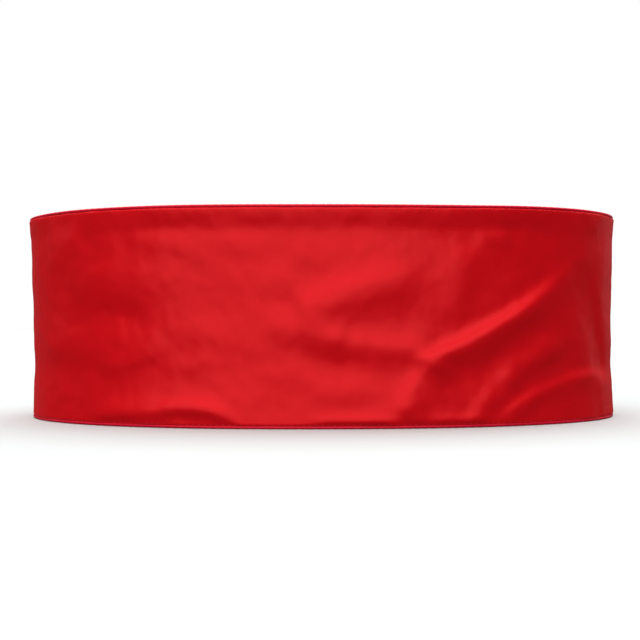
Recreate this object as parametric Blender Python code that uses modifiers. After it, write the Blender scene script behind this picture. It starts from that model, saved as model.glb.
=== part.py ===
"""A plain wide waist band, closed at the back and standing on its lower edge.

Metres, +Z up. The origin is on the floor under the middle of the band, and the front faces -Y.
The cloth is one strip, wrapped once round an oval, whose ends overlap at the back over a closure.
Its face has soft folds, each one row of a table. A rolled piping finishes each long edge.
"""

import math

import bmesh
import bpy
import numpy as np

# Overall sizes of the band as it stands, to its outer face
BAND_HEIGHT = 0.115
HALF_WIDTH = 0.1701
HALF_DEPTH = 0.103
# 2 gives an ellipse, and more gives a flatter front and back with rounder ends
PLAN_POWER = 2.2

# Cloth and edging
WALL = 0.0020
PIPING = 0.0018
SEAM_GAP = 0.0003

# Back closure: the ends lie over each other with a tape between them
OVERLAP = 0.050
TUCK_RUN = 0.050
TUCK_MARGIN = 0.006
TAPE_WIDTH = 0.034
TAPE_HEIGHT = 0.092
TAPE_THICKNESS = 0.0022

# How the standing band gives: it is drawn in at mid height, its rim sags, and it leans towards -X
WAIST_PINCH = 0.0023
RIM_SAG = 0.0015
LEAN = 0.0008

# Relief of the face
FOLD_HEIGHT = 0.0030
# Folds fade out over this much of the cloth beside each piping, and beside the overlap
EDGE_FADE = 0.003
END_FADE = 0.035

# Facets: steps along and up the cloth and along a piping. A step at the front is this share of an
# even one, and the steps grow towards the ends.
BAND_STEPS = (102, 20)
TAPE_STEPS = (6, 10)
PIPING_STEPS = 84
PIPING_SIDES = 8
FRONT_SPACING = 0.62
PLAN_SAMPLES = 4000
# Arc length over which the strip's heading is measured
HEADING_SPAN = 0.0045

# Colour and roughness of each piece
CLOTH_FINISH = ((0.56, 0.012, 0.022, 1.0), 0.42)
PIPING_FINISH = ((0.48, 0.010, 0.018, 1.0), 0.45)
TAPE_FINISH = ((0.30, 0.010, 0.014, 1.0), 0.85)

# How far the wall stands inside the upper rim, from the floor up:
# up is a share of BAND_HEIGHT, and inset a share of WAIST_PINCH
PROFILE = [
    # up, inset
    (0.00, 0.43),
    (0.06, 0.57),
    (0.15, 0.72),
    (0.26, 1.00),
    (0.38, 0.87),
    (0.47, 0.87),
    (0.58, 0.76),
    (0.68, 0.56),
    (0.78, 0.41),
    (0.87, 0.37),
    (1.00, 0.00),
]

# How far the rim sags below its highest place:
# along is a share of half the girth, from the front centre towards +X, and sag a share of RIM_SAG
RIM = [
    # along, sag
    (-1.00, 0.45),
    (-0.52, 0.60),
    (-0.39, 0.65),
    (-0.33, 0.35),
    (-0.22, 0.15),
    (0.00, 0.50),
    (0.17, 0.42),
    (0.26, 0.06),
    (0.33, 0.00),
    (0.42, 0.20),
    (0.55, 0.40),
    (1.00, 0.45),
]

# The folds: a ridge runs from its first point to its second, curved by bow. along is a share of
# half the girth, from the front centre towards +X. up, bow, over and under are shares of
# BAND_HEIGHT: over and under are the widths of the slopes on the ridge's left and right, looking
# along it. fade_in and fade_out are the shares of its length over which it rises and sinks, and
# height is a share of FOLD_HEIGHT.
FOLDS = [
    # along, up, to_along, to_up, bow, over, under, fade_in, fade_out, height
    (0.101, 0.28, 0.335, 0.77, -0.043, 0.035, 0.087, 0.14, 0.50, 1.30),
    (-0.076, 0.49, 0.040, 0.38, -0.009, 0.070, 0.078, 0.25, 0.35, 0.50),
    (-0.018, 0.43, 0.135, 0.35, -0.022, 0.052, 0.078, 0.25, 0.15, 0.47),
    (-0.040, 0.50, 0.139, 0.70, 0.026, 0.078, 0.113, 0.15, 0.40, 0.87),
    (0.144, 0.42, 0.182, 0.86, 0.009, 0.113, 0.078, 0.30, 0.30, 0.33),
    (0.085, 0.02, 0.139, 0.33, 0.022, 0.048, 0.113, 0.25, 0.20, 0.73),
    (0.175, 0.00, 0.238, 0.25, 0.026, 0.061, 0.061, 0.25, 0.25, 0.40),
    (0.202, 0.21, 0.312, 0.40, -0.009, 0.070, 0.057, 0.25, 0.30, 0.60),
    (0.202, 0.02, 0.418, 0.20, 0.086, 0.024, 0.052, 0.15, 0.20, 0.40),
    (0.339, 0.78, 0.400, 0.16, 0.009, 0.070, 0.113, 0.25, 0.15, -0.57),
    (-0.301, 0.04, -0.180, 0.08, 0.004, 0.065, 0.035, 0.45, 0.35, 0.50),
    (-0.220, 0.05, -0.092, 0.03, 0.055, 0.039, 0.039, 0.30, 0.30, 0.63),
    (-0.247, 0.85, -0.126, 0.80, 0.000, 0.061, 0.061, 0.45, 0.45, 0.27),
    (-0.261, 0.70, -0.144, 0.66, 0.000, 0.087, 0.174, 0.45, 0.45, 0.37),
    (-0.337, 0.69, -0.220, 0.66, 0.000, 0.078, 0.122, 0.45, 0.45, 0.37),
    (-0.306, 0.52, -0.198, 0.49, 0.000, 0.052, 0.052, 0.45, 0.45, -0.27),
    (-0.283, 0.22, -0.175, 0.39, 0.000, 0.087, 0.052, 0.30, 0.30, 0.37),
    (-0.216, 0.44, -0.090, 0.41, 0.000, 0.078, 0.070, 0.45, 0.45, 0.23),
    (-0.211, 0.27, -0.103, 0.29, 0.000, 0.052, 0.061, 0.45, 0.45, 0.25),
    (-0.094, 0.27, 0.009, 0.23, 0.000, 0.070, 0.061, 0.45, 0.45, 0.27),
    (-0.036, 0.18, 0.076, 0.17, 0.000, 0.061, 0.061, 0.45, 0.45, 0.25),
    (-0.377, 0.85, -0.288, 0.88, 0.000, 0.052, 0.122, 0.30, 0.30, 0.30),
    (-0.395, 0.38, -0.261, 0.29, 0.017, 0.122, 0.096, 0.30, 0.35, 0.33),
    (0.175, 0.84, 0.234, 0.87, 0.000, 0.035, 0.061, 0.30, 0.30, 0.23),
    (-0.270, 0.89, 0.337, 0.89, 0.000, 0.052, 0.348, 0.12, 0.15, -0.33),
    (-0.027, 0.03, 0.103, 0.03, 0.000, 0.033, 0.019, 0.30, 0.30, 0.37),
    (0.121, 0.03, 0.193, 0.03, 0.000, 0.033, 0.019, 0.30, 0.30, 0.30),
    (-0.090, 0.66, -0.013, 0.66, 0.000, 0.052, 0.096, 0.45, 0.45, 0.20),
    (-0.054, 0.77, 0.031, 0.76, 0.000, 0.052, 0.052, 0.45, 0.45, 0.15),
    (-0.139, 0.83, -0.058, 0.82, 0.000, 0.043, 0.052, 0.45, 0.45, 0.15),
    (0.480, 0.18, 0.660, 0.60, 0.030, 0.100, 0.120, 0.30, 0.30, 0.45),
    (0.600, 0.74, 0.790, 0.52, 0.020, 0.110, 0.110, 0.30, 0.30, 0.35),
    (-0.640, 0.70, -0.460, 0.38, 0.030, 0.110, 0.120, 0.30, 0.30, 0.45),
    (-0.800, 0.30, -0.610, 0.50, 0.020, 0.100, 0.110, 0.30, 0.30, 0.35),
    (0.700, 0.18, 0.860, 0.34, 0.000, 0.090, 0.090, 0.30, 0.30, 0.25),
]


def clear_scene():
    for obj in list(bpy.data.objects):
        bpy.data.objects.remove(obj)


def new_collection(name):
    collection = bpy.data.collections.new(name)
    bpy.context.scene.collection.children.link(collection)
    return collection


def add_material(piece, finish):
    """Give the piece a material of its own."""
    colour, roughness = finish
    made = bpy.data.materials.new(piece.name)
    made.use_nodes = True
    shader = made.node_tree.nodes["Principled BSDF"]
    shader.inputs["Base Color"].default_value = colour
    shader.inputs["Roughness"].default_value = roughness
    shader.inputs["Metallic"].default_value = 0.0
    piece.data.materials.append(made)


def smoothstep(share):
    share = np.clip(share, 0.0, 1.0)
    return share * share * (3.0 - 2.0 * share)


def curve_through(rows, at):
    """The smooth curve through a table's (place, value) rows, read at the places in an array."""
    place, value = np.array(rows).T
    slope = np.gradient(value, place)
    cell = np.clip(np.searchsorted(place, at) - 1, 0, len(place) - 2)
    step = place[cell + 1] - place[cell]
    t = np.clip((at - place[cell]) / step, 0.0, 1.0)
    return (
        (2 * t**3 - 3 * t**2 + 1) * value[cell]
        + (t**3 - 2 * t**2 + t) * step * slope[cell]
        + (3 * t**2 - 2 * t**3) * value[cell + 1]
        + (t**3 - t**2) * step * slope[cell + 1]
    )


class Oval:
    """The band's outer face in plan, measured by arc length from the front centre towards +X."""

    def __init__(self):
        angle = np.linspace(-math.pi, math.pi, PLAN_SAMPLES + 1)
        self.x = HALF_WIDTH * self.rounded(np.sin(angle))
        self.y = -HALF_DEPTH * self.rounded(np.cos(angle))
        steps = np.hypot(np.diff(self.x), np.diff(self.y))
        length = np.concatenate([[0.0], np.cumsum(steps)])
        self.girth = length[-1]
        self.length = length - self.girth / 2

    @staticmethod
    def rounded(part):
        return np.sign(part) * np.abs(part) ** (2.0 / PLAN_POWER)

    def point(self, along):
        """The place at this arc length, which may run past the back centre."""
        half = self.girth / 2
        wrapped = (along + half) % self.girth - half
        return np.stack(
            [np.interp(wrapped, self.length, self.x), np.interp(wrapped, self.length, self.y)], -1
        )

    def inside(self, along, inset):
        """The place moved squarely inwards by inset."""
        ahead = self.point(along + HEADING_SPAN / 2) - self.point(along - HEADING_SPAN / 2)
        ahead /= np.linalg.norm(ahead, axis=-1, keepdims=True)
        inwards = np.stack([-ahead[..., 1], ahead[..., 0]], -1)
        return self.point(along) + inwards * np.asarray(inset)[..., None]


OVAL = Oval()
HALF_GIRTH = OVAL.girth / 2
# The strip's two ends, in arc length: the far one lies on the outside
NEAR_END = -HALF_GIRTH - OVERLAP / 2
FAR_END = HALF_GIRTH + OVERLAP / 2
TUCK_DEPTH = WALL + TAPE_THICKNESS + 2 * SEAM_GAP
CLOTH_LOW = PIPING + SEAM_GAP
CLOTH_HIGH = BAND_HEIGHT - PIPING - SEAM_GAP


def tuck(along):
    """How far the near end lies inside the far end, so that the two can overlap."""
    start = -HALF_GIRTH + OVERLAP / 2 + TUCK_MARGIN
    return TUCK_DEPTH * smoothstep((start + TUCK_RUN - along) / TUCK_RUN)


def fold(row, along, up):
    """The height that one fold adds, over arrays of arc length and height."""
    from_along, from_up, to_along, to_up, bow, over, under, fade_in, fade_out, height = row
    start = np.array([from_along * HALF_GIRTH, from_up * BAND_HEIGHT])
    chord = np.array([to_along * HALF_GIRTH, to_up * BAND_HEIGHT]) - start
    length = np.linalg.norm(chord)
    chord = chord / length
    share = ((along - start[0]) * chord[0] + (up - start[1]) * chord[1]) / length
    aside = (up - start[1]) * chord[0] - (along - start[0]) * chord[1]
    aside = aside - bow * BAND_HEIGHT * 4 * share * (1 - share)
    width = np.where(aside > 0, over, under) * BAND_HEIGHT
    ends = smoothstep(share / fade_in) * smoothstep((1 - share) / fade_out)
    return height * FOLD_HEIGHT * ends * np.exp(-((aside / width) ** 2))


def folds(along, up):
    """All the folds together, faded out beside the piping and where the ends overlap."""
    total = sum(fold(row, along, up) for row in FOLDS)
    from_edge = np.minimum(up - CLOTH_LOW, CLOTH_HIGH - up)
    from_overlap = HALF_GIRTH - OVERLAP / 2 - np.abs(along)
    return total * smoothstep(from_edge / EDGE_FADE) * smoothstep(from_overlap / END_FADE)


def pinch(up):
    """How far the wall stands inside the rim at this height."""
    return WAIST_PINCH * curve_through(PROFILE, up / BAND_HEIGHT)


def standing(along, up, inset):
    """Points of the standing band, from arrays of arc length, height and distance inside the rim."""
    plan = OVAL.inside(along, inset)
    sag = RIM_SAG * curve_through(RIM, along / HALF_GIRTH)
    share = np.clip((up - PIPING) / (BAND_HEIGHT - 2 * PIPING), 0.0, 1.0)
    return np.stack([plan[..., 0] + LEAN * (1 - share), plan[..., 1], up - sag * share], -1)


def cloth_panel(name, along_range, up_range, steps, spacing, inset_at, thickness):
    """A panel of the strip: a flat grid wrapped round the oval, then thickened inwards."""
    mesh = bpy.data.meshes.new(name)
    grid = bmesh.new()
    bmesh.ops.create_grid(grid, x_segments=steps[0], y_segments=steps[1], size=1.0)
    flat = np.array([vertex.co for vertex in grid.verts])
    middle = sum(along_range) / 2
    reach = (along_range[1] - along_range[0]) / 2
    along = middle + reach * (spacing * flat[:, 0] + (1 - spacing) * flat[:, 0] ** 3)
    up = np.interp(flat[:, 1], (-1.0, 1.0), up_range)
    inset = inset_at(along) + pinch(up) - folds(along, up)
    for vertex, place in zip(grid.verts, standing(along, up, inset)):
        vertex.co = place
    grid.to_mesh(mesh)
    grid.free()
    mesh.shade_smooth()
    panel = bpy.data.objects.new(name, mesh)
    solidify = panel.modifiers.new("thickness", "SOLIDIFY")
    solidify.thickness = thickness
    solidify.offset = -1.0
    solidify.use_even_offset = True
    return panel


def piping_profile():
    """The piping's section: a polygon as high as the piping, with a flat at its top and foot."""
    profile = bpy.data.curves.new("piping_profile", "CURVE")
    profile.dimensions = "2D"
    profile.fill_mode = "NONE"
    outline = profile.splines.new("POLY")
    outline.points.add(PIPING_SIDES - 1)
    corner_radius = PIPING / 2 / math.cos(math.pi / PIPING_SIDES)
    for i, point in enumerate(outline.points):
        turn = 2 * math.pi * (i + 0.5) / PIPING_SIDES
        point.co = (corner_radius * math.sin(turn), corner_radius * math.cos(turn), 0.0, 1.0)
    outline.use_cyclic_u = True
    guide = bpy.data.objects.new("piping_profile", profile)
    guide.hide_render = True
    guide.display_type = "WIRE"
    return guide


def piping(name, centre_height, edge_height, profile):
    """A rolled edging along the whole strip, in line with the middle of the cloth's edge."""
    share = np.linspace(-1.0, 1.0, PIPING_STEPS + 1)
    along = (NEAR_END + FAR_END) / 2 + (FAR_END - NEAR_END) / 2 * share
    inset = WALL / 2 + tuck(along) + pinch(edge_height)
    line = bpy.data.curves.new(name, "CURVE")
    line.dimensions = "3D"
    line.twist_mode = "Z_UP"
    spline = line.splines.new("POLY")
    spline.points.add(PIPING_STEPS)
    path = standing(along, np.full_like(along, centre_height), inset)
    for point, place in zip(spline.points, path):
        point.co = (*place, 1.0)
    line.bevel_mode = "OBJECT"
    line.bevel_object = profile
    line.use_fill_caps = True
    return bpy.data.objects.new(name, line)


def build():
    clear_scene()
    parts = new_collection("waist_band")
    guides = new_collection("guides")

    band = cloth_panel(
        "band",
        (NEAR_END, FAR_END),
        (CLOTH_LOW, CLOTH_HIGH),
        BAND_STEPS,
        FRONT_SPACING,
        tuck,
        WALL,
    )
    add_material(band, CLOTH_FINISH)
    parts.objects.link(band)

    tape_low = (BAND_HEIGHT - TAPE_HEIGHT) / 2
    tape = cloth_panel(
        "closure_tape",
        (HALF_GIRTH - TAPE_WIDTH / 2, HALF_GIRTH + TAPE_WIDTH / 2),
        (tape_low, tape_low + TAPE_HEIGHT),
        TAPE_STEPS,
        1.0,
        lambda along: np.full_like(along, WALL + SEAM_GAP),
        TAPE_THICKNESS,
    )
    add_material(tape, TAPE_FINISH)
    parts.objects.link(tape)

    profile = piping_profile()
    guides.objects.link(profile)
    for name, centre_height, edge_height in (
        ("bottom_piping", PIPING / 2, CLOTH_LOW),
        ("top_piping", BAND_HEIGHT - PIPING / 2, CLOTH_HIGH),
    ):
        edging = piping(name, centre_height, edge_height, profile)
        add_material(edging, PIPING_FINISH)
        parts.objects.link(edging)


build()
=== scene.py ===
"""The look of a plain satin waist band that stands on its lower edge, seen level from the front.

Metres, +Z up, in the frame of the CAD part: the front faces -Y and the floor is z = 0.
"""

import math

import bpy
import numpy as np
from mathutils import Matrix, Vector, noise


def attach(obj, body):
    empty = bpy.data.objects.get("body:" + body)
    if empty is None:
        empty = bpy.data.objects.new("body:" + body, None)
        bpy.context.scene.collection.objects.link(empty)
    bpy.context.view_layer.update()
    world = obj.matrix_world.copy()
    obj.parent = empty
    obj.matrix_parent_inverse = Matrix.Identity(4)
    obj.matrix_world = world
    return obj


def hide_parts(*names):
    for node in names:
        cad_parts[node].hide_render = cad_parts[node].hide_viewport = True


# Sizes of the CAD part that the cloth and edging are built on
BAND_HEIGHT = 0.115
HALF_WIDTH = 0.1701
HALF_DEPTH = 0.103
PLAN_POWER = 2.2
WALL = 0.0020
PIPING = 0.0018
SEAM_GAP = 0.0003
SEAM_LAP = 0.0003
OVERLAP = 0.050
TUCK_RUN = 0.050
TUCK_MARGIN = 0.006
TAPE_THICKNESS = 0.0022
WAIST_PINCH = 0.0023
RIM_SAG = 0.0015
LEAN = 0.0008
FOLD_HEIGHT = 0.0030
EDGE_FADE = 0.003
END_FADE = 0.035
PLAN_SAMPLES = 20000
HEADING_SPAN = 0.0045

# How far the wall stands inside the upper rim, from the floor up:
# up is a share of BAND_HEIGHT, and inset a share of WAIST_PINCH
PROFILE = [
    # up, inset
    (0.00, 0.43),
    (0.06, 0.57),
    (0.15, 0.72),
    (0.26, 1.00),
    (0.38, 0.87),
    (0.47, 0.87),
    (0.58, 0.76),
    (0.68, 0.56),
    (0.78, 0.41),
    (0.87, 0.37),
    (1.00, 0.00),
]

# How far the rim sags below its highest place:
# along is a share of half the girth, from the front centre towards +X, and sag a share of RIM_SAG
RIM = [
    # along, sag
    (-1.00, 0.45),
    (-0.52, 0.60),
    (-0.39, 0.65),
    (-0.33, 0.35),
    (-0.22, 0.15),
    (0.00, 0.50),
    (0.17, 0.42),
    (0.26, 0.06),
    (0.33, 0.00),
    (0.42, 0.20),
    (0.55, 0.40),
    (1.00, 0.45),
]

# The folds: a ridge runs from its first point to its second, curved by bow. along is a share of
# half the girth, from the front centre towards +X. up, bow, over and under are shares of
# BAND_HEIGHT: over and under are the widths of the slopes on the ridge's left and right, looking
# along it. fade_in and fade_out are the shares of its length over which it rises and sinks, and
# height is a share of FOLD_HEIGHT.
FOLDS = [
    # along, up, to_along, to_up, bow, over, under, fade_in, fade_out, height
    (0.101, 0.28, 0.335, 0.77, -0.043, 0.035, 0.087, 0.14, 0.50, 1.30),
    (-0.076, 0.49, 0.040, 0.38, -0.009, 0.070, 0.078, 0.25, 0.35, 0.50),
    (-0.018, 0.43, 0.135, 0.35, -0.022, 0.052, 0.078, 0.25, 0.15, 0.47),
    (-0.040, 0.50, 0.139, 0.70, 0.026, 0.078, 0.113, 0.15, 0.40, 0.87),
    (0.144, 0.42, 0.182, 0.86, 0.009, 0.113, 0.078, 0.30, 0.30, 0.33),
    (0.085, 0.02, 0.139, 0.33, 0.022, 0.048, 0.113, 0.25, 0.20, 0.73),
    (0.175, 0.00, 0.238, 0.25, 0.026, 0.061, 0.061, 0.25, 0.25, 0.40),
    (0.202, 0.21, 0.312, 0.40, -0.009, 0.070, 0.057, 0.25, 0.30, 0.60),
    (0.202, 0.02, 0.418, 0.20, 0.086, 0.024, 0.052, 0.15, 0.20, 0.40),
    (0.339, 0.78, 0.400, 0.16, 0.009, 0.070, 0.113, 0.25, 0.15, -0.57),
    (-0.301, 0.04, -0.180, 0.08, 0.004, 0.065, 0.035, 0.45, 0.35, 0.50),
    (-0.220, 0.05, -0.092, 0.03, 0.055, 0.039, 0.039, 0.30, 0.30, 0.63),
    (-0.247, 0.85, -0.126, 0.80, 0.000, 0.061, 0.061, 0.45, 0.45, 0.27),
    (-0.261, 0.70, -0.144, 0.66, 0.000, 0.087, 0.174, 0.45, 0.45, 0.37),
    (-0.337, 0.69, -0.220, 0.66, 0.000, 0.078, 0.122, 0.45, 0.45, 0.37),
    (-0.306, 0.52, -0.198, 0.49, 0.000, 0.052, 0.052, 0.45, 0.45, -0.27),
    (-0.283, 0.22, -0.175, 0.39, 0.000, 0.087, 0.052, 0.30, 0.30, 0.37),
    (-0.216, 0.44, -0.090, 0.41, 0.000, 0.078, 0.070, 0.45, 0.45, 0.23),
    (-0.211, 0.27, -0.103, 0.29, 0.000, 0.052, 0.061, 0.45, 0.45, 0.25),
    (-0.094, 0.27, 0.009, 0.23, 0.000, 0.070, 0.061, 0.45, 0.45, 0.27),
    (-0.036, 0.18, 0.076, 0.17, 0.000, 0.061, 0.061, 0.45, 0.45, 0.25),
    (-0.377, 0.85, -0.288, 0.88, 0.000, 0.052, 0.122, 0.30, 0.30, 0.30),
    (-0.395, 0.38, -0.261, 0.29, 0.017, 0.122, 0.096, 0.30, 0.35, 0.33),
    (0.175, 0.84, 0.234, 0.87, 0.000, 0.035, 0.061, 0.30, 0.30, 0.23),
    (-0.270, 0.89, 0.337, 0.89, 0.000, 0.052, 0.348, 0.12, 0.15, -0.33),
    (-0.027, 0.03, 0.103, 0.03, 0.000, 0.033, 0.019, 0.30, 0.30, 0.37),
    (0.121, 0.03, 0.193, 0.03, 0.000, 0.033, 0.019, 0.30, 0.30, 0.30),
    (-0.090, 0.66, -0.013, 0.66, 0.000, 0.052, 0.096, 0.45, 0.45, 0.20),
    (-0.054, 0.77, 0.031, 0.76, 0.000, 0.052, 0.052, 0.45, 0.45, 0.15),
    (-0.139, 0.83, -0.058, 0.82, 0.000, 0.043, 0.052, 0.45, 0.45, 0.15),
    (0.480, 0.18, 0.660, 0.60, 0.030, 0.100, 0.120, 0.30, 0.30, 0.45),
    (0.600, 0.74, 0.790, 0.52, 0.020, 0.110, 0.110, 0.30, 0.30, 0.35),
    (-0.640, 0.70, -0.460, 0.38, 0.030, 0.110, 0.120, 0.30, 0.30, 0.45),
    (-0.800, 0.30, -0.610, 0.50, 0.020, 0.100, 0.110, 0.30, 0.30, 0.35),
    (0.700, 0.18, 0.860, 0.34, 0.000, 0.090, 0.090, 0.30, 0.30, 0.25),
]

# The cloth's edges: how far the outer face curves in above the lower edging and below the upper
LOWER_TURN = 0.0018
UPPER_TURN = 0.0011
INNER_TURN = 0.0010
# What is left of the wall's thickness at its very edge, as a share
EDGE_SHARE = 0.12
# The turned-in hem shows through the face as a faint step this far below the rim
HEM_DEPTH = 0.0125
HEM_STEP = 0.00010
HEM_BLUR = 0.0005
# The hem's stitching pulls the face in along the same line, and this much to both sides of it
HEM_CREASE = 0.00013
HEM_CREASE_REACH = 0.0035
# Puckers beside the seams
PUCKER_HEIGHT = 0.00010
PUCKER_LENGTH = 0.0065
PUCKER_REACH = 0.005
PUCKER_SEED = 3.7
# The slight unevenness of the whole face: broad swells, dimples and fine ripples
UNEVENNESS = [
    # height, size, seed
    (0.00030, 0.020, 9.1),
    (0.00022, 0.0075, 4.6),
    (0.00010, 0.0036, 7.4),
]
# The third coordinate at which the noise is read for a wandering line
WANDER_LEVEL = 0.5

# Facets of the cloth and of the edging
STRIP_STEPS = 500
FRONT_SPACING = 0.62
EDGE_ROWS = 7
FACE_ROWS = 66
EDGING_STEPS = 560
EDGING_SIDES = 16

# The edging is rolled cloth: it wanders a little, and its wraps show as shallow waves
EDGING_WANDER = 0.00012
EDGING_WANDER_LENGTH = 0.030
WRAP_HEIGHT = 0.00005
WRAP_LENGTH = 0.0042
# The radius of the edging's rounded ends stays over the square root of this share of the whole
END_OPENING = 0.05

# Stitches
STITCH_PITCH = 0.0032
STITCH_LENGTH = 0.0019
STITCH_RADIUS = 0.00010
STITCH_SIDES = 6
STITCH_RINGS = 5
# A stitch's tip and its dip at both ends, as shares of its radius
STITCH_TIP = 0.3
STITCH_DIP = 1.1
# How far apart the places are from which the cloth's slope under a stitch is measured
SLOPE_SPAN = 0.0004
# The rows of stitches: how far the long ones lie inside the cloth's edges, how far the upright one
# lies inside the outer end, and how far it stops short of both edges
SEAM_INSET = 0.0007
END_SEAM_INSET = 0.004
END_SEAM_MARGIN = 0.004

# Colours, linear
WHITE = (1.0, 1.0, 1.0, 1.0)
SATIN_RED = (0.585, 0.0022, 0.0062)
EDGING_RED = (0.49, 0.0045, 0.022)
REVERSE_RED = (0.42, 0.0060, 0.012)
THREAD_RED = (0.50, 0.0060, 0.014)
TAPE_RED = (0.22, 0.0050, 0.008)
SHEEN_TINT = (1.0, 0.45, 0.45, 1.0)
LUSTRE_TINT = (1.0, 0.20, 0.22, 1.0)
FLOOR_PALE = (0.525, 0.555, 0.551, 1.0)

# The floor's reach to each side, and the range of its roughness
FLOOR_REACH = 6.0
FLOOR_ROUGHNESS = (0.75, 0.85)

# Satin's dyed threads reflect in their own colour, as a metal does, over this share of the face.
# A thin gloss over them reflects white.
LUSTRE = 0.30
GLOSS = 0.19
GLOSS_ROUGHNESS = 0.32
SHEEN_ROUGHNESS = 0.35
# How far a roughness varies, and how far a red does, as a share of itself
PATCHINESS = 0.06
VARIATION = 0.10
# Shares of that variation: cloudy dye, slubs and single threads
CLOUD_TONE = 0.55
SLUB_TONE = 0.30
THREAD_TONE = 0.15
# How rubbed the cloth is at its edges, how far from them, and how pale it is there
RUBBED = 0.8
RUB_REACH = 0.003
RUB_SHADE = 1.25
# The sewing thread's contrast, and the tape's painted shade between its loops and painted light on
# their tops
PLY_CONTRAST = 0.25
PILE_SHADE_AND_LIGHT = (0.5, 1.3)

# Sizes of the weave and of the patterns in the materials: periods in metres, scales per metre
WEFT_PERIOD = 0.00030
WARP_PERIOD = 0.00042
SLUB_SCALE = (60.0, 2200.0, 1.0)
CLOUD_SCALE = 28.0
FINE_SCALE = 420.0
PLY_SCALE = 2600.0
LOOP_SCALE = 900.0
GRAIN_SCALE = 60.0
# How much the threads of each set waver, and their shares of the weave
WEFT_WAVER = 1.2
WARP_WAVER = 1.0
WEFT_SHARE = 0.7
WARP_SHARE = 0.3
# Octaves of the broad and of the fine patterns
BROAD_DETAIL = 3.0
FINE_DETAIL = 2.0
PLY_DETAIL = 1.0
# Depths of the bumps, and the strength of the cloth's finest ones
THREAD_BUMP = 0.00004
SLUB_BUMP = 0.00003
FINE_BUMP = 0.00005
FINE_STRENGTH = 0.35
PLY_BUMP = 0.00003
PILE_BUMP = 0.0003
# A wave texture of scale 1 repeats after this length over its scale
WAVE_UNIT = math.pi / 10
# The colour sockets of a mix node
MIX_START = 6
MIX_END = 7
MIX_RESULT = 2

# Strengths of the even light from all round, and of the white surround that the camera sees
AMBIENT = 0.20
SURROUND = 1.0

# Soft lights; power is in watts per square metre
LIGHT_DISTANCE = 1.5
LIGHTS = [
    # name, azimuth, elevation, spread, power
    ("above", 180.0, 80.0, 120.0, 1.9),
    ("behind_right", 140.0, 62.0, 60.0, 1.5),
    ("behind_left", -140.0, 62.0, 60.0, 1.0),
    ("front", -8.0, 24.0, 80.0, 2.68),
    ("left", -98.0, 30.0, 50.0, 0.46),
    ("right", 130.0, 22.0, 50.0, 0.23),
]

# The photograph's camera: level, in front of the band
LENS = 66.65
CAMERA_DISTANCE = 0.7018
CAMERA_HEIGHT = 0.0555
CAMERA_SIDE = -0.00095
CAMERA_ROLL = math.radians(0.12)
CAMERA_NEAR = 0.01


def smoothstep(share):
    share = np.clip(share, 0.0, 1.0)
    return share * share * (3.0 - 2.0 * share)


def curve_through(rows, at):
    """The smooth curve through a table's (place, value) rows, read at the places in an array."""
    place, value = np.array(rows).T
    slope = np.gradient(value, place)
    cell = np.clip(np.searchsorted(place, at) - 1, 0, len(place) - 2)
    step = place[cell + 1] - place[cell]
    t = np.clip((at - place[cell]) / step, 0.0, 1.0)
    return (
        (2 * t**3 - 3 * t**2 + 1) * value[cell]
        + (t**3 - 2 * t**2 + t) * step * slope[cell]
        + (3 * t**2 - 2 * t**3) * value[cell + 1]
        + (t**3 - t**2) * step * slope[cell + 1]
    )


class Oval:
    """The band's outer face in plan, measured by arc length from the front centre towards +X."""

    def __init__(self):
        angle = np.linspace(-math.pi, math.pi, PLAN_SAMPLES + 1)
        self.x = HALF_WIDTH * self.rounded(np.sin(angle))
        self.y = -HALF_DEPTH * self.rounded(np.cos(angle))
        steps = np.hypot(np.diff(self.x), np.diff(self.y))
        length = np.concatenate([[0.0], np.cumsum(steps)])
        self.girth = length[-1]
        self.length = length - self.girth / 2

    @staticmethod
    def rounded(part):
        return np.sign(part) * np.abs(part) ** (2.0 / PLAN_POWER)

    def point(self, along):
        """The place at this arc length, which may run past the back centre."""
        half = self.girth / 2
        wrapped = (along + half) % self.girth - half
        return np.stack(
            [np.interp(wrapped, self.length, self.x), np.interp(wrapped, self.length, self.y)], -1
        )

    def inside(self, along, inset):
        """The place moved squarely inwards by inset."""
        ahead = self.point(along + HEADING_SPAN / 2) - self.point(along - HEADING_SPAN / 2)
        ahead /= np.linalg.norm(ahead, axis=-1, keepdims=True)
        inwards = np.stack([-ahead[..., 1], ahead[..., 0]], -1)
        return self.point(along) + inwards * np.asarray(inset)[..., None]


OVAL = Oval()
HALF_GIRTH = OVAL.girth / 2
# The strip's two ends, in arc length: the far one lies on the outside
NEAR_END = -HALF_GIRTH - OVERLAP / 2
FAR_END = HALF_GIRTH + OVERLAP / 2
TUCK_DEPTH = WALL + TAPE_THICKNESS + 2 * SEAM_GAP
# The cloth's edges are sewn into the edging, and so reach a little way into it
CLOTH_LOW = PIPING - SEAM_LAP
CLOTH_HIGH = BAND_HEIGHT - PIPING + SEAM_LAP


def tuck(along):
    """How far the near end lies inside the far end, so that the two can overlap."""
    start = -HALF_GIRTH + OVERLAP / 2 + TUCK_MARGIN
    return TUCK_DEPTH * smoothstep((start + TUCK_RUN - along) / TUCK_RUN)


def fold(row, along, up):
    """The height that one fold adds, over arrays of arc length and height."""
    from_along, from_up, to_along, to_up, bow, over, under, fade_in, fade_out, height = row
    start = np.array([from_along * HALF_GIRTH, from_up * BAND_HEIGHT])
    chord = np.array([to_along * HALF_GIRTH, to_up * BAND_HEIGHT]) - start
    length = np.linalg.norm(chord)
    chord = chord / length
    share = ((along - start[0]) * chord[0] + (up - start[1]) * chord[1]) / length
    aside = (up - start[1]) * chord[0] - (along - start[0]) * chord[1]
    aside = aside - bow * BAND_HEIGHT * 4 * share * (1 - share)
    width = np.where(aside > 0, over, under) * BAND_HEIGHT
    ends = smoothstep(share / fade_in) * smoothstep((1 - share) / fade_out)
    return height * FOLD_HEIGHT * ends * np.exp(-((aside / width) ** 2))


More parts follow.
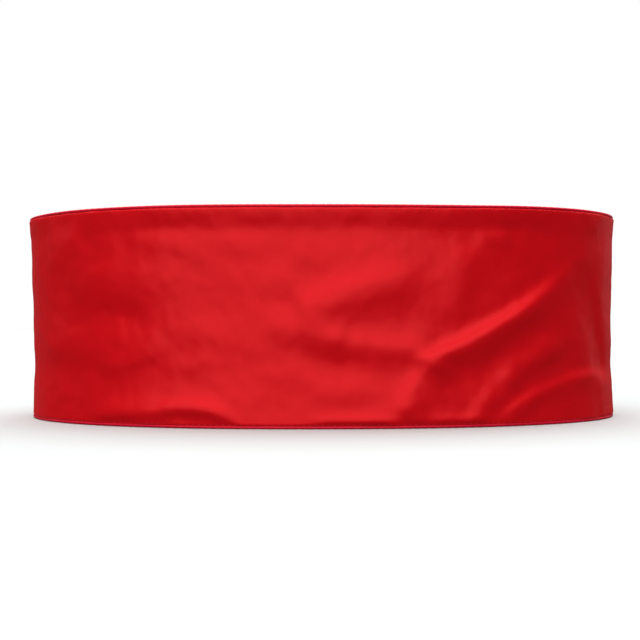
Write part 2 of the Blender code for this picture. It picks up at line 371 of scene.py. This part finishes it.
def folds(along, up):
    """All the folds together, faded out beside the piping and where the ends overlap."""
    total = sum(fold(row, along, up) for row in FOLDS)
    from_edge = np.minimum(up - CLOTH_LOW, CLOTH_HIGH - up)
    from_overlap = HALF_GIRTH - OVERLAP / 2 - np.abs(along)
    return total * smoothstep(from_edge / EDGE_FADE) * smoothstep(from_overlap / END_FADE)


def pinch(up):
    """How far the wall stands inside the rim at this height."""
    return WAIST_PINCH * curve_through(PROFILE, up / BAND_HEIGHT)


def standing(along, up, inset):
    """Points of the standing band, from arc lengths, heights and distances inside the rim."""
    plan = OVAL.inside(along, inset)
    sag = RIM_SAG * curve_through(RIM, along / HALF_GIRTH)
    share = np.clip((up - PIPING) / (BAND_HEIGHT - 2 * PIPING), 0.0, 1.0)
    return np.stack([plan[..., 0] + LEAN * (1 - share), plan[..., 1], up - sag * share], -1)


def wander(along, length, seed):
    """A smooth wandering between about -1 and 1, over an array of arc lengths."""
    flat = [noise.noise(Vector((value / length, seed, WANDER_LEVEL))) for value in along.ravel()]
    return 2 * np.array(flat).reshape(along.shape)


def rough_field(along, up, size, seed):
    """Smooth unevenness over the strip, in waves of about this size."""
    flat = [
        noise.noise(Vector((a / size, u / size, seed))) for a, u in zip(along.ravel(), up.ravel())
    ]
    return np.array(flat).reshape(along.shape)


def small_relief(along, up):
    """The relief too small for the CAD part: puckers, unevenness, the hem's step and its crease."""
    from_edge = np.minimum(up - CLOTH_LOW, CLOTH_HIGH - up)
    pucker = wander(along, PUCKER_LENGTH, PUCKER_SEED) * np.exp(-from_edge / PUCKER_REACH)
    uneven = sum(height * rough_field(along, up, size, seed) for height, size, seed in UNEVENNESS)
    from_hem = up - (BAND_HEIGHT - HEM_DEPTH)
    hem = HEM_STEP * (0.5 + 0.5 * np.tanh(from_hem / HEM_BLUR))
    hem -= HEM_CREASE * np.exp(-np.abs(from_hem) / HEM_CREASE_REACH)
    return PUCKER_HEIGHT * pucker + uneven + hem


def turn(from_edge, reach):
    """How far a face has curved towards the middle of the wall, at this distance from its edge."""
    across = 1.0 - np.clip(from_edge / reach, 0.0, 1.0)
    return WALL / 2 * (1 - EDGE_SHARE) * (1 - np.sqrt(1 - across**2))


def outer_inset(along, up):
    """The distance of the cloth's outer face inside the rim."""
    bent = np.maximum(turn(up - CLOTH_LOW, LOWER_TURN), turn(CLOTH_HIGH - up, UPPER_TURN))
    return tuck(along) + pinch(up) - folds(along, up) - small_relief(along, up) + bent


def mesh_object(name, points, faces, materials, face_material=None, uv=None):
    mesh = bpy.data.meshes.new(name)
    mesh.from_pydata(np.asarray(points).tolist(), [], np.asarray(faces).tolist())
    for material in materials:
        mesh.materials.append(material)
    if face_material is not None:
        mesh.polygons.foreach_set("material_index", np.asarray(face_material, dtype=np.int32))
    if uv is not None:
        corners = np.zeros(len(mesh.loops), dtype=np.int32)
        mesh.loops.foreach_get("vertex_index", corners)
        layer = mesh.uv_layers.new(name="strip")
        layer.data.foreach_set("uv", np.asarray(uv)[corners].astype(np.float32).ravel())
    mesh.shade_smooth()
    mesh.update()
    made = bpy.data.objects.new(name, mesh)
    bpy.context.scene.collection.objects.link(made)
    return made


def grid_faces(rows, columns, first=0, wrap=False):
    """Quads of a grid stored row by row; wrap joins its last column to its first."""
    i = np.arange(rows - 1)[:, None]
    j = np.arange(columns if wrap else columns - 1)[None, :]
    after = (j + 1) % columns
    quads = np.stack(
        [
            i * columns + j,
            i * columns + after,
            (i + 1) * columns + after,
            (i + 1) * columns + j,
        ],
        -1,
    )
    return quads.reshape(-1, 4) + first


def cap_faces(first, count, flip=False):
    """Quads across the ring of count points that starts at first."""
    i = np.arange(count // 2 - 1)
    quads = np.stack([i, i + 1, count - 2 - i, count - 1 - i], -1) + first
    return quads[:, ::-1] if flip else quads


def strip_places():
    """Arc lengths along the strip, closer together at the front than at the ends."""
    t = np.linspace(-1.0, 1.0, STRIP_STEPS)
    reach = (FAR_END - NEAR_END) / 2
    return (NEAR_END + FAR_END) / 2 + reach * (FRONT_SPACING * t + (1 - FRONT_SPACING) * t**3)


def row_heights():
    """Heights of the cloth's rows, close together where its edges turn in."""
    low = CLOTH_LOW + LOWER_TURN * (1 - np.cos(np.linspace(0, math.pi / 2, EDGE_ROWS)))
    high = CLOTH_HIGH - UPPER_TURN * (1 - np.cos(np.linspace(math.pi / 2, 0, EDGE_ROWS)))
    face = np.linspace(low[-1], high[0], FACE_ROWS)
    return np.concatenate([low, face[1:-1], high])


def build_cloth(face_material, reverse_material):
    """The strip as one closed wall: each station is a loop up the outer face and down the inner."""
    heights = row_heights()
    places = strip_places()
    along, up = np.meshgrid(places, heights, indexing="ij")
    relief = outer_inset(along, up)
    inner = (
        tuck(along)
        + pinch(up)
        - folds(along, up)
        + WALL
        - np.maximum(turn(up - CLOTH_LOW, INNER_TURN), turn(CLOTH_HIGH - up, INNER_TURN))
    )
    outside = standing(along, up, relief)
    inside = standing(along, up, inner)
    loop = np.concatenate([outside, inside[:, ::-1]], axis=1)
    stations, around = loop.shape[:2]
    rows = len(heights)
    faces = grid_faces(stations, around, wrap=True)
    column = np.tile(np.arange(around), stations - 1)
    reverse = (column >= rows) & (column < around - 1)
    caps = [cap_faces(0, around), cap_faces((stations - 1) * around, around, flip=True)]
    loop_heights = np.tile(np.r_[heights, heights[::-1]], (stations, 1))
    uv = np.stack([np.repeat(places[:, None], around, 1), loop_heights], -1).reshape(-1, 2)
    index = np.concatenate([reverse.astype(int), np.zeros(sum(map(len, caps)), int)])
    return mesh_object(
        "satin_cloth",
        loop.reshape(-1, 3),
        np.concatenate([faces[:, ::-1], *caps]),
        [face_material, reverse_material],
        index,
        uv,
    )


def build_edging(name, centre_height, edge_height, seed, material):
    """A rolled edging: a round cord of cloth that wanders slightly and shows its wraps."""
    places = np.linspace(NEAR_END, FAR_END, EDGING_STEPS)
    side = EDGING_WANDER * wander(places, EDGING_WANDER_LENGTH, seed)
    inset = WALL / 2 + tuck(places) + pinch(edge_height) + side
    turns = np.linspace(0.0, 2 * math.pi, EDGING_SIDES, endpoint=False)
    along, angle = np.meshgrid(places, turns, indexing="ij")
    wrap = WRAP_HEIGHT * np.sin(2 * math.pi * along / WRAP_LENGTH + angle)
    radius = PIPING / 2 - WRAP_HEIGHT + wrap
    ends = np.minimum(places - NEAR_END, FAR_END - places)[:, None]
    radius = radius * np.sqrt(np.clip(ends / (PIPING / 2) + END_OPENING, 0.0, 1.0))
    across = inset[:, None] - radius * np.cos(angle)
    points = standing(along, np.full_like(along, centre_height), across)
    points[..., 2] += radius * np.sin(angle)
    faces = np.concatenate(
        [
            grid_faces(EDGING_STEPS, EDGING_SIDES, wrap=True)[:, ::-1],
            cap_faces(0, EDGING_SIDES),
            cap_faces((EDGING_STEPS - 1) * EDGING_SIDES, EDGING_SIDES, flip=True),
        ]
    )
    uv = np.stack([along, angle * PIPING / 2], -1).reshape(-1, 2)
    return mesh_object(name, points.reshape(-1, 3), faces, [material], uv=uv)


def unit(vectors):
    return vectors / np.linalg.norm(vectors, axis=-1, keepdims=True)


def stitch_points(centre, heading, outward):
    """One stitch: a short thread that dips at both ends."""
    t = np.linspace(-1.0, 1.0, STITCH_RINGS)
    angle = np.linspace(0.0, 2 * math.pi, STITCH_SIDES, endpoint=False)
    across = np.cross(heading, outward)
    radius = STITCH_RADIUS * (STITCH_TIP + np.sqrt(np.clip(1 - t**2, 0.0, 1.0)))
    middle = (
        centre
        + heading * (t * STITCH_LENGTH / 2)[:, None]
        - outward * (STITCH_DIP * STITCH_RADIUS * t**2)[:, None]
    )
    ring = outward * np.cos(angle)[:, None] + across * np.sin(angle)[:, None]
    return middle[:, None, :] + radius[:, None, None] * ring[None]


def build_stitches(name, rows, material):
    """Rows of stitches: each has its middles' arc lengths and heights, and if it is upright."""
    points, faces = [], []
    for places, heights, upright in rows:
        inset = outer_inset(places, heights)
        centre = standing(places, heights, inset)
        further, higher = places + SLOPE_SPAN, heights + SLOPE_SPAN
        ahead = unit(standing(further, heights, outer_inset(further, heights)) - centre)
        above = unit(standing(places, higher, outer_inset(places, higher)) - centre)
        outward = unit(np.cross(ahead, above))
        heading = above if upright else ahead
        for c, h, o in zip(centre, heading, outward):
            first = len(points) * STITCH_RINGS * STITCH_SIDES
            points.append(stitch_points(c, h, o))
            faces.append(grid_faces(STITCH_RINGS, STITCH_SIDES, first, wrap=True))
            faces.append(cap_faces(first, STITCH_SIDES, flip=True))
            faces.append(cap_faces(first + (STITCH_RINGS - 1) * STITCH_SIDES, STITCH_SIDES))
    all_points = np.concatenate([stitch.reshape(-1, 3) for stitch in points])
    return mesh_object(name, all_points, np.concatenate(faces), [material])


class Graph:
    """Short calls for building a material's nodes."""

    def __init__(self, name):
        self.material = bpy.data.materials.new(name)
        self.material.use_nodes = True
        self.tree = self.material.node_tree
        self.shader = self.tree.nodes["Principled BSDF"]

    def node(self, kind, inputs=None, **settings):
        made = self.tree.nodes.new(kind)
        for key, value in settings.items():
            setattr(made, key, value)
        for key, value in (inputs or {}).items():
            self.feed(made.inputs[key], value)
        return made

    def feed(self, socket, value):
        if isinstance(value, bpy.types.NodeSocket):
            self.tree.links.new(value, socket)
        else:
            socket.default_value = value

    def math(self, operation, a, b, clamp=False):
        made = self.node("ShaderNodeMath", {0: a, 1: b}, operation=operation, use_clamp=clamp)
        return made.outputs[0]

    def mapped(self, value, low, high, value_range=(0.0, 1.0)):
        made = self.node(
            "ShaderNodeMapRange",
            {
                "Value": value,
                "From Min": value_range[0],
                "From Max": value_range[1],
                "To Min": low,
                "To Max": high,
            },
        )
        return made.outputs["Result"]

    def mix(self, factor, start, end):
        """A colour between two, each a tuple or another node's output."""
        made = self.node("ShaderNodeMix", {"Factor": factor}, data_type="RGBA")
        self.feed(made.inputs[MIX_START], start)
        self.feed(made.inputs[MIX_END], end)
        return made.outputs[MIX_RESULT]

    def noise(self, place, scale, detail):
        made = self.node("ShaderNodeTexNoise", {"Vector": place, "Scale": scale, "Detail": detail})
        return made.outputs["Fac"]

    def bump(self, height, strength, distance, normal=None):
        made = self.node(
            "ShaderNodeBump", {"Height": height, "Strength": strength, "Distance": distance}
        )
        if normal is not None:
            self.feed(made.inputs["Normal"], normal)
        return made.outputs["Normal"]

    def place(self):
        return self.node("ShaderNodeTexCoord").outputs["Object"]

    def finish(self, **inputs):
        """Set or link the shader's inputs, whose names have underscores here in place of spaces."""
        for name, value in inputs.items():
            self.feed(self.shader.inputs[name.replace("_", " ")], value)
        return self.material


def shades(red, factor):
    return (*[channel * factor for channel in red], 1.0)


def satin(name, red, roughness, weave, sheen):
    """Woven satin: threads along the strip, fainter ones across them, and rubbed edges."""
    g = Graph(name)
    uv = g.node("ShaderNodeUVMap", uv_map="strip").outputs["UV"]
    place = g.place()

    def bands(direction, period, waver):
        wave = g.node(
            "ShaderNodeTexWave",
            {
                "Vector": uv,
                "Scale": WAVE_UNIT / period,
                "Distortion": waver,
                "Detail": 2.0,
                "Detail Scale": 2.0,
            },
            wave_type="BANDS",
            bands_direction=direction,
        )
        return wave.outputs["Fac"]

    def blend(first, first_share, second, second_share):
        return g.math(
            "ADD", g.math("MULTIPLY", first, first_share), g.math("MULTIPLY", second, second_share)
        )

    weft = bands("Y", WEFT_PERIOD, WEFT_WAVER)
    warp = bands("X", WARP_PERIOD, WARP_WAVER)
    threads = blend(weft, WEFT_SHARE, warp, WARP_SHARE)
    stretched = g.node("ShaderNodeMapping", {"Vector": uv, "Scale": SLUB_SCALE}).outputs["Vector"]
    slub = g.noise(stretched, 1.0, BROAD_DETAIL)
    cloud = g.noise(place, CLOUD_SCALE, BROAD_DETAIL)
    fine = g.noise(place, FINE_SCALE, FINE_DETAIL)

    tone = blend(cloud, CLOUD_TONE, slub, SLUB_TONE)
    tone = g.math("ADD", tone, g.math("MULTIPLY", threads, THREAD_TONE), clamp=True)
    dyed = g.mix(tone, shades(red, 1 - VARIATION), shades(red, 1 + VARIATION))
    height = g.node("ShaderNodeSeparateXYZ", {0: uv}).outputs["Y"]
    aside = g.math("ABSOLUTE", g.math("SUBTRACT", height, BAND_HEIGHT / 2), 0.0)
    edge = (CLOTH_HIGH - CLOTH_LOW) / 2
    rub = g.math("MULTIPLY", g.mapped(aside, 0.0, RUBBED, (edge - RUB_REACH, edge)), fine)
    patches = blend(cloud, 0.5, slub, 0.5)

    relief = g.bump(threads, weave, THREAD_BUMP)
    relief = g.bump(slub, weave, SLUB_BUMP, relief)
    relief = g.bump(fine, FINE_STRENGTH, FINE_BUMP, relief)
    return g.finish(
        Base_Color=g.mix(rub, dyed, shades(red, RUB_SHADE)),
        Roughness=g.mapped(patches, roughness - PATCHINESS, roughness + PATCHINESS),
        Normal=relief,
        Metallic=LUSTRE,
        Sheen_Weight=sheen,
        Sheen_Roughness=SHEEN_ROUGHNESS,
        Sheen_Tint=SHEEN_TINT,
        Specular_IOR_Level=0.0,
        Specular_Tint=LUSTRE_TINT,
        Coat_Weight=GLOSS,
        Coat_Roughness=GLOSS_ROUGHNESS,
    )


def thread(name, red):
    """Sewing thread, with the twist of its plies."""
    g = Graph(name)
    ply = g.noise(g.place(), PLY_SCALE, PLY_DETAIL)
    return g.finish(
        Base_Color=g.mix(ply, shades(red, 1 - PLY_CONTRAST), shades(red, 1 + PLY_CONTRAST)),
        Roughness=0.5,
        Normal=g.bump(ply, strength=0.5, distance=PLY_BUMP),
    )


def napped(name, red):
    """Hook and loop tape: a matt pile of small loops, with painted shade between the loops and
    painted light on their tops.
    """
    g = Graph(name)
    loops = g.node("ShaderNodeTexVoronoi", {"Vector": g.place(), "Scale": LOOP_SCALE})
    pile = g.math("SUBTRACT", 1.0, loops.outputs["Distance"])
    return g.finish(
        # Painted shade in the hollows between the loops and painted light on their tops
        Base_Color=g.mix(pile, *[shades(red, factor) for factor in PILE_SHADE_AND_LIGHT]),
        Roughness=0.9,
        Normal=g.bump(pile, strength=0.8, distance=PILE_BUMP),
    )


def stitch_rows():
    """Middles of the stitches along both edges and beside the outer end's hem."""
    along = np.arange(NEAR_END + STITCH_PITCH, FAR_END - STITCH_PITCH / 2, STITCH_PITCH)
    low = np.full_like(along, CLOTH_LOW + SEAM_INSET)
    high = np.full_like(along, CLOTH_HIGH - SEAM_INSET)
    up = np.arange(CLOTH_LOW + END_SEAM_MARGIN, CLOTH_HIGH - END_SEAM_MARGIN, STITCH_PITCH)
    end = np.full_like(up, FAR_END - END_SEAM_INSET)
    return [(along, low, False), (along, high, False), (end, up, True)]


def soft_light(name, azimuth, elevation, spread, power):
    """An even, soft light from one side: azimuth 0 is the front, 90 is +X."""
    lamp = bpy.data.lights.new(name, "SUN")
    lamp.energy = power
    lamp.angle = math.radians(spread)
    side, height = math.radians(azimuth), math.radians(elevation)
    towards = Vector(
        (
            math.sin(side) * math.cos(height),
            -math.cos(side) * math.cos(height),
            math.sin(height),
        )
    )
    made = bpy.data.objects.new(name, lamp)
    made.location = towards * LIGHT_DISTANCE
    made.rotation_euler = towards.to_track_quat("Z", "Y").to_euler()
    bpy.context.scene.collection.objects.link(made)


def build_stage():
    """A pale floor, a white surround and soft studio light."""
    g = Graph("pale_floor")
    grain = g.noise(g.place(), GRAIN_SCALE, FINE_DETAIL)
    material = g.finish(
        Base_Color=FLOOR_PALE,
        Roughness=g.mapped(grain, *FLOOR_ROUGHNESS),
        Specular_IOR_Level=0.1,
    )
    near, far = -FLOOR_REACH, FLOOR_REACH
    corners = [(near, near, 0.0), (far, near, 0.0), (far, far, 0.0), (near, far, 0.0)]
    floor = mesh_object("floor", corners, [(0, 1, 2, 3)], [material])
    floor.visible_diffuse = False
    floor.visible_glossy = False

    world = bpy.data.worlds.new("studio")
    bpy.context.scene.world = world
    world.use_nodes = True
    tree = world.node_tree
    tree.nodes.clear()
    path = tree.nodes.new("ShaderNodeLightPath")
    mixed = tree.nodes.new("ShaderNodeMixShader")
    out = tree.nodes.new("ShaderNodeOutputWorld")
    tree.links.new(path.outputs["Is Camera Ray"], mixed.inputs[0])
    for socket, strength in ((mixed.inputs[1], AMBIENT), (mixed.inputs[2], SURROUND)):
        even = tree.nodes.new("ShaderNodeBackground")
        even.inputs["Color"].default_value = WHITE
        even.inputs["Strength"].default_value = strength
        tree.links.new(even.outputs[0], socket)
    tree.links.new(mixed.outputs[0], out.inputs["Surface"])

    for row in LIGHTS:
        soft_light(*row)


def build_camera():
    camera_data = bpy.data.cameras.new("camera")
    camera_data.lens = LENS
    camera_data.clip_start = CAMERA_NEAR
    camera = bpy.data.objects.new("camera", camera_data)
    camera.location = (CAMERA_SIDE, -CAMERA_DISTANCE, CAMERA_HEIGHT)
    camera.rotation_euler = (math.pi / 2, CAMERA_ROLL, 0.0)
    bpy.context.scene.collection.objects.link(camera)
    bpy.context.scene.camera = camera


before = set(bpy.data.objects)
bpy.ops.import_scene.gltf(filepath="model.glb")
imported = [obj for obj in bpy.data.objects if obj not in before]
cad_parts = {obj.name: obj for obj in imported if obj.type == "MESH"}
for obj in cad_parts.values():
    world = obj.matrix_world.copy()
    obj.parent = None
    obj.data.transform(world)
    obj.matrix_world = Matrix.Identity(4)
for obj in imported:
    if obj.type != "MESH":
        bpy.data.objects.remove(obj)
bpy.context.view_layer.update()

face = satin("satin_face", SATIN_RED, roughness=0.46, weave=0.5, sheen=0.04)
reverse = satin("satin_reverse", REVERSE_RED, roughness=0.62, weave=0.8, sheen=0.10)
edging = satin("satin_edging", EDGING_RED, roughness=0.40, weave=0.6, sheen=0.10)
seam_thread = thread("seam_thread", THREAD_RED)

cloth = build_cloth(face, reverse)
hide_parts("band")

pieces = [cloth]
for name, node, centre, edge, seed in (
    ("lower_edging", "bottom_piping", PIPING / 2, CLOTH_LOW, 1.3),
    ("upper_edging", "top_piping", BAND_HEIGHT - PIPING / 2, CLOTH_HIGH, 6.2),
):
    rolled = build_edging(name, centre, edge, seed, edging)
    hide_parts(node)
    pieces.append(rolled)

stitches = build_stitches("seam_stitches", stitch_rows(), seam_thread)
pieces.append(stitches)

for piece in pieces:
    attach(piece, "root")

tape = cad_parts["closure_tape"]
tape.data.materials.clear()
tape.data.materials.append(napped("napped_tape", TAPE_RED))

build_stage()
build_camera()
bpy.context.scene.view_settings.view_transform = "Standard"
